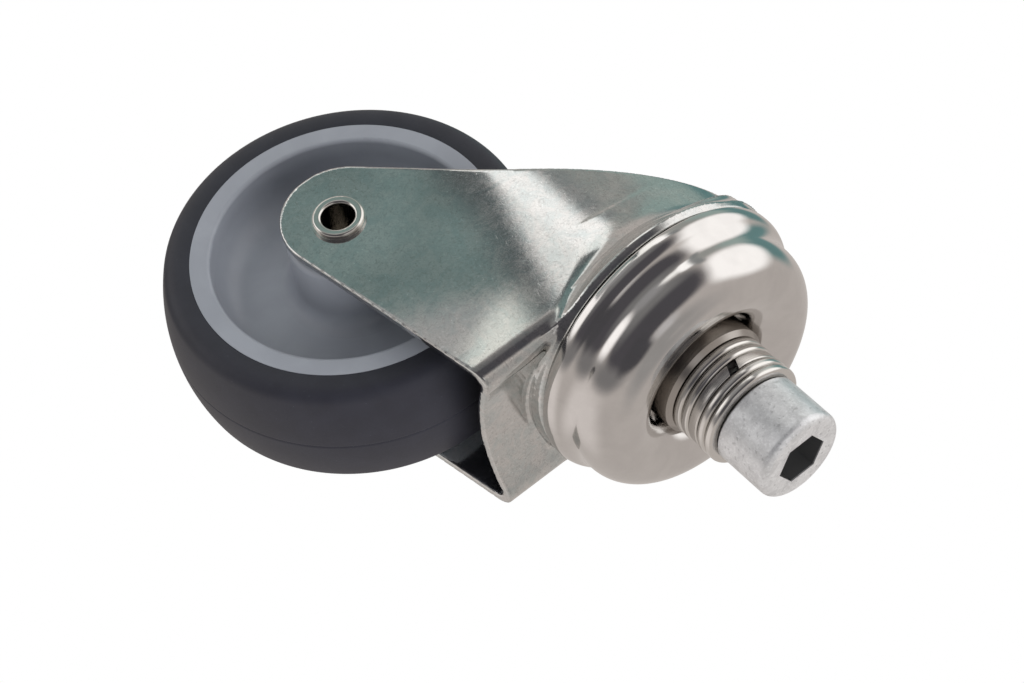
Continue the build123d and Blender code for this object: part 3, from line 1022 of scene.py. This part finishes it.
@dataclass(frozen=True)
class ScreenCloth(Shine):
    """The dark green cloth beside the leg, with a darker hem and a paler top.

    Attributes:
        hem: the hem's light.
        top: the light of the paler top.
        hem_edges: where the hem ends and the green begins, in the cloth's own millimetres.
        hem_slope: how far the hem leans.
        top_line: height over which the paler top begins.
        ridge: the light of the bright upper edge.
        ridge_line: height over which the bright edge begins.
        ridge_slope: how far the bright edge leans.
        fold_size: the size of its folds.
        fold_reach: how far they shift the edges between its colours.
        shade_size: the size of its lighter and darker clouds.
    """

    hem: Colour = (0.115, 0.13, 0.135)
    top: Colour = (0.50, 0.495, 0.49)
    hem_edges: Point = (-24.0, -13.0)
    hem_slope: float = 0.26
    top_line: Point = (16.0, 24.0)
    ridge: Colour = (1.15, 1.17, 1.10)
    ridge_line: Point = (27.5, 31.0)
    ridge_slope: float = 0.42
    fold_size: float = 16.0
    fold_reach: float = 14.0
    shade_size: float = 22.0

    def light(self, graph: Graph) -> Field:
        """Green in the middle, dark at the hem and pale above."""
        place = graph.place()
        x, y, _ = place.parts()
        ripple = (graph.noise(place, self.fold_size, 4.0, 0.6, 0.4) - 0.5) * (self.fold_reach * MM)
        over = x - y * self.hem_slope + ripple
        rise = y + ripple + x * 0.5
        near = graph.noise(place, self.shade_size, 3.0, 0.5)
        cloth = graph.mix(near.step(0.3, 0.7), self.colour, tuple(1.45 * c for c in self.colour))
        cloth = graph.mix(rise.step(self.top_line[0] * MM, self.top_line[1] * MM), cloth, self.top)
        edge = y - x * self.ridge_slope + ripple * 0.3
        cloth = graph.mix(edge.step(self.ridge_line[0] * MM, self.ridge_line[1] * MM), cloth, self.ridge)
        return graph.mix(over.step(self.hem_edges[0] * MM, self.hem_edges[1] * MM), self.hem, cloth)


@dataclass(frozen=True)
class Glow:
    """A soft patch of the studio's surroundings.

    Attributes:
        azimuth: its middle, in degrees from +X towards +Y.
        elevation: its middle, in degrees above the horizon.
        width: half its width in degrees.
        height: half its height in degrees.
        colour: its light.
        soft: the share of it that its edge fades over.
    """

    azimuth: float
    elevation: float
    width: float
    height: float
    colour: Colour
    soft: float = 0.35


@dataclass
class Studio:
    """Floor, surroundings, lamp, cloth and camera.

    Attributes:
        floor_height: the floor's height.
        floor_reach: half its size in metres.
        surroundings: the light from where no patch is.
        glows: the patches, painted in this order.
        lamp_place: the overhead lamp's place in metres.
        lamp_aim: which way it faces.
        lamp_size: its diameter in metres.
        lamp_power: its power in watts.
        cloth_place: the origin of the cloth's own axes.
        cloth_edges: its left, right, low and high edges.
        cloth_slant: how far its left edge leans over its height.
        camera_place: the camera's place.
        camera_right: the direction of the camera's right.
        camera_up: the direction of the camera's up.
        lens: the focal length.
        sensor: the sensor's width.
    """

    floor_height: float = -103.5
    floor_reach: float = 3.0
    surroundings: Colour = (0.60, 0.555, 0.525)
    glows: tuple[Glow, ...] = (
        Glow(0, 85, 200, 24, (0.40, 0.385, 0.375), 0.5),
        Glow(28, -20, 26, 30, (0.86, 0.80, 0.77), 0.6),
        Glow(-71, 10, 55, 37, (0.095, 0.09, 0.10), 0.18),
        Glow(-12, 4, 10, 42, (0.25, 0.24, 0.24), 0.7),
        Glow(-38, 42, 22, 22, (0.085, 0.082, 0.09), 0.3),
        Glow(-78, 57, 18, 9, (0.66, 0.64, 0.64), 0.6),
        Glow(-80, -18, 36, 14, (0.24, 0.235, 0.235), 0.6),
        Glow(-82, -46, 18, 22, (0.36, 0.355, 0.36), 0.4),
        Glow(-150, -38, 22, 14, (0.40, 0.41, 0.39), 0.5),
        Glow(15, -64, 48, 17, (0.03, 0.028, 0.028), 0.4),
        Glow(167, -23, 18, 26, (0.16, 0.29, 0.29), 0.35),
        Glow(-173, -37, 16, 12, (0.40, 0.50, 0.47), 0.5),
        Glow(-158, 9, 29, 32, (1.42, 1.39, 1.37), 0.24),
        Glow(-112, -49, 19, 19, (1.35, 1.34, 1.30), 0.2),
        Glow(-121, -33, 7, 9, (1.5, 1.48, 1.46), 0.3),
        Glow(-131, -26, 5, 9, (0.30, 0.31, 0.31), 0.5),
        Glow(-41, -49, 23, 25, (1.45, 1.41, 1.39), 0.25),
        Glow(-62, -66, 22, 10, (1.3, 1.28, 1.26), 0.3),
    )
    lamp_place: Colour = (0.05, -0.25, 0.85)
    lamp_aim: Colour = (-0.05, 0.25, -0.92)
    lamp_size: float = 1.1
    lamp_power: float = 9.0
    cloth_place: Colour = (10.0, -81.5, -95.0)
    cloth_edges: tuple[float, float, float, float] = (-44.0, 45.0, -50.0, 38.0)
    cloth_slant: float = 28.0
    camera_place: Colour = (181.63, -418.71, 234.23)
    camera_right: Colour = (-0.76772, 0.11138, 0.63103)
    camera_up: Colour = (-0.56283, -0.58796, -0.58097)
    lens: float = 96.03
    sensor: float = 36.0

    def light(self) -> None:
        """Paint the surroundings and hang one broad soft lamp overhead."""
        world = bpy.data.worlds.new("studio")
        bpy.context.scene.world = world
        world.use_nodes = True
        graph = Graph(world.node_tree)
        place = graph.field(graph.node("ShaderNodeTexCoord"), "Generated")
        x, y, z = place.parts()
        elevation = z.arcsine() * (180 / pi)
        azimuth = y.arctan2(x) * (180 / pi)
        colour: object = self.surroundings
        for glow in self.glows:
            off = (azimuth - glow.azimuth).wrapped(-180.0, 180.0) / glow.width
            rise = (elevation - glow.elevation) / glow.height
            reach = (off.size() ** 3.0 + rise.size() ** 3.0) ** (1 / 3)
            colour = graph.mix(1.0 - reach.step(1 - glow.soft, 1 + glow.soft), colour, glow.colour)
        shine = graph.node("ShaderNodeBackground", Color=colour, Strength=1.0)
        graph.node("ShaderNodeOutputWorld", Surface=shine.outputs[0])
        lamp = bpy.data.lights.new("overhead", "AREA")
        lamp.shape, lamp.size, lamp.energy = LampShape.DISC.value, self.lamp_size, self.lamp_power
        hung = bpy.data.objects.new("overhead", lamp)
        hung.location = self.lamp_place
        hung.rotation_euler = Vector(self.lamp_aim).to_track_quat("-Z", "Y").to_euler()
        hung.visible_glossy = False
        hung.visible_camera = False
        bpy.context.scene.collection.objects.link(hung)

    def floor(self) -> None:
        """Lay the pale floor under the wheel."""
        shaper = bmesh.new()
        bmesh.ops.create_grid(shaper, x_segments=8, y_segments=8, size=self.floor_reach)
        mesh = bpy.data.meshes.new("floor")
        shaper.to_mesh(mesh)
        shaper.free()
        made = bpy.data.objects.new("floor", mesh)
        made.location.z = self.floor_height * MM
        mesh.materials.append(Shine("white_floor", (1.0, 1.0, 1.0)).material())
        made.visible_glossy = False
        made.visible_shadow = False
        bpy.context.scene.collection.objects.link(made)

    def cloth(self) -> None:
        """Hang the dark cloth that the near leg mirrors; nothing else sees it."""
        shaper = bmesh.new()
        left, right, low, high = self.cloth_edges
        corners = [(left, low), (right, low), (right, high), (left + self.cloth_slant, high)]
        corner = [shaper.verts.new((x * MM, y * MM, 0.0)) for x, y in corners]
        shaper.faces.new(corner)
        mesh = bpy.data.meshes.new("cloth")
        shaper.to_mesh(mesh)
        shaper.free()
        made = bpy.data.objects.new("cloth", mesh)
        made.location = [v * MM for v in self.cloth_place]
        made.rotation_euler = (pi / 2, 0.0, 0.0)
        mesh.materials.append(ScreenCloth("green_cloth", (0.19, 0.255, 0.248)).material())
        made.visible_camera = False
        made.visible_diffuse = False
        made.visible_shadow = False
        bpy.context.scene.collection.objects.link(made)

    def aim(self) -> None:
        """Place the camera."""
        right, up = Vector(self.camera_right).normalized(), Vector(self.camera_up).normalized()
        back = right.cross(up).normalized()
        up = back.cross(right)
        pose = Matrix((right, up, back)).transposed().to_4x4()
        pose.translation = Vector(self.camera_place) * MM
        lens = bpy.data.cameras.new("camera")
        lens.lens, lens.sensor_width, lens.sensor_fit = self.lens, self.sensor, "HORIZONTAL"
        lens.clip_start, lens.clip_end = 0.01, 20.0
        made = bpy.data.objects.new("camera", lens)
        made.matrix_world = pose
        bpy.context.scene.collection.objects.link(made)
        bpy.context.scene.camera = made
        bpy.context.scene.view_settings.view_transform = "Standard"


def main() -> None:
    """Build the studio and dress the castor."""
    logging.basicConfig(level=logging.INFO, format="%(name)s %(message)s")
    studio = Studio()
    studio.aim()
    studio.floor()
    studio.light()
    studio.cloth()
    bright = TurnedSteel("bright_turned_steel", "bright_steel", (0.68, 0.665, 0.64), 0.17)
    Fork(TumbledSteel("tumbled_sheet", "pressed_steel", (0.62, 0.62, 0.605), 0.12)).build()
    Head(
        PolishedSteel("polished_dome", "polished_steel", (0.66, 0.645, 0.63), 0.11),
        # Painted shade: the collar's base is darker than the other turned steel, standing in for the shade
        # and dark reflection in the throat round it.
        TurnedSteel("shade_darkened_collar", "turned_steel", (0.40, 0.375, 0.35), 0.20),
        TurnedSteel("plain_races", "plain_steel", (0.50, 0.49, 0.47), 0.32),
        PolishedSteel("ball_polish", "ball_steel", (0.66, 0.65, 0.64), 0.08),
        MattRubber("seal_rubber", "seal_rubber", (0.02, 0.02, 0.02), 0.6, 0.0),
    ).build()
    Wheel(
        SatinPlastic("satin_centre", "wheel_plastic", (0.29, 0.31, 0.35), 0.36, 0.0),
        MattRubber("tyre_compound", "tyre", (0.019, 0.020, 0.029), 0.55, 0.0),
        SatinPlastic("bush_acetal", "bush_plastic", (0.05, 0.05, 0.055), 0.4, 0.0, (0.06, 0.06, 0.07)),
    ).build()
    Axle(
        TurnedSteel("rolled_rivet", "bright_steel", (0.66, 0.645, 0.61), 0.16, about_y=(35.4, -65.8)),
        TurnedSteel("axle_steel", "plain_steel", (0.50, 0.49, 0.47), 0.30, about_y=(35.4, -65.8)),
    ).build()
    Fastening(ZincFlake("zinc_screw", "zinc_flake", (0.72, 0.73, 0.74), 0.38, 0.7), bright).build()


if __name__ == "__main__":
    main()
